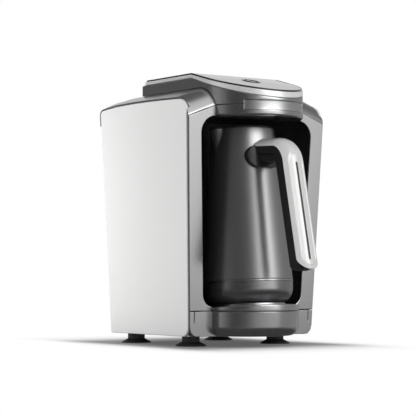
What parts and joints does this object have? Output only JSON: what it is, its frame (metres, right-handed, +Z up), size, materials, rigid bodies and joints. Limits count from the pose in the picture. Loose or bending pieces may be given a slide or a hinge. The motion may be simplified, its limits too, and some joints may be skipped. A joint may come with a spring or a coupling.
{
  "type": "electric turkish coffee maker",
  "caption": "Free-standing Turkish coffee maker: pot bay under a jutting head with a sloping control panel and start button, and a tapered heating pot with a hooked handle that lifts out.",
  "frame": {"origin": "centre of the footprint at table height: midway between the widest points in X and between the grip's lower end and the rear bulge in Y, Z = 0 on the table", "axes": "+X to the user's right, -Y out of the front, +Z up"},
  "size_m": [0.1612, 0.2438, 0.2595],
  "materials": {
    "panel": "high-gloss white moulding",
    "housing": "satin metallic-effect grey moulding",
    "rear": "fine-textured dark grey moulding",
    "pan": "textured black moulding",
    "foot": "soft black rubber",
    "liner": "black moulding",
    "seat": "spun steel disc",
    "trim": "silver-white lacquered ring",
    "lens": "smoked glossy panel",
    "button": "smoked glossy button",
    "plate": "bare satin name plate",
    "pot": "dark metallic non-stick coat",
    "cup": "black moulding",
    "ring": "turned steel ring",
    "shell": "pearl white moulding",
    "core": "satin black moulding",
    "screw": "plated steel",
    "board": "green circuit board",
    "contact": "brass pins",
    "black": "black component moulding",
    "coil": "taped winding",
    "relay": "blue component case",
    "heater": "cast heating plate",
    "element": "oxidised tube",
    "pipe": "clear light pipe",
    "window": "dark red infrared window"
  },
  "bodies": {
    "machine": {"base_pan": "pan", "foot_front_left": "foot", "foot_front_right": "foot", "foot_rear_left": "foot", "foot_rear_right": "foot", "foot_screws": "screw", "plinth": "housing", "seat_deck": "housing", "seat_disc": "seat", "cavity_liner": "liner", "front_frame": "housing", "side_panel_left": "panel", "side_panel_right": "panel", "top_cover": "housing", "rear_cover": "rear", "case_screws": "screw", "cord_gland": "foot", "head_housing": "housing", "visor": "housing", "name_plate": "plate", "trim_ring": "trim", "control_panel": "lens", "button_spring": "screw", "control_board": "board", "button_switch": "black", "lamp_pipe": "pipe", "buzzer": "black", "sensor_window": "window", "sensor_board": "board", "power_board": "board", "transformer": "coil", "relay": "relay", "board_screws": "screw", "contact_block": "black", "contact_pins": "contact"},
    "pot": {"pot_body": "pot", "pot_ring": "ring", "pot_cup": "cup", "heater_plate": "heater", "heater_ring": "element", "thermostat": "heater", "pot_socket": "black", "pot_bottom": "cup", "handle_bracket": "ring", "handle_core": "core", "handle_shell": "shell", "handle_back": "core", "handle_screws": "screw"},
    "start_button": {"start_button": "button"}
  },
  "joints": [
    {"name": "pot_slide", "type": "slide", "parent": "machine", "child": "pot", "axis": [0, -0.9974, 0.0715], "range_m": [0, 0.12]},
    {"name": "start_button_press", "type": "slide", "parent": "machine", "child": "start_button", "axis": [0, 0.2538, -0.9673], "range_m": [0, 0.0008], "stiffness_N_per_m": 300, "springref_m": -0.002, "deforming": ["button_spring"]}
  ]
}
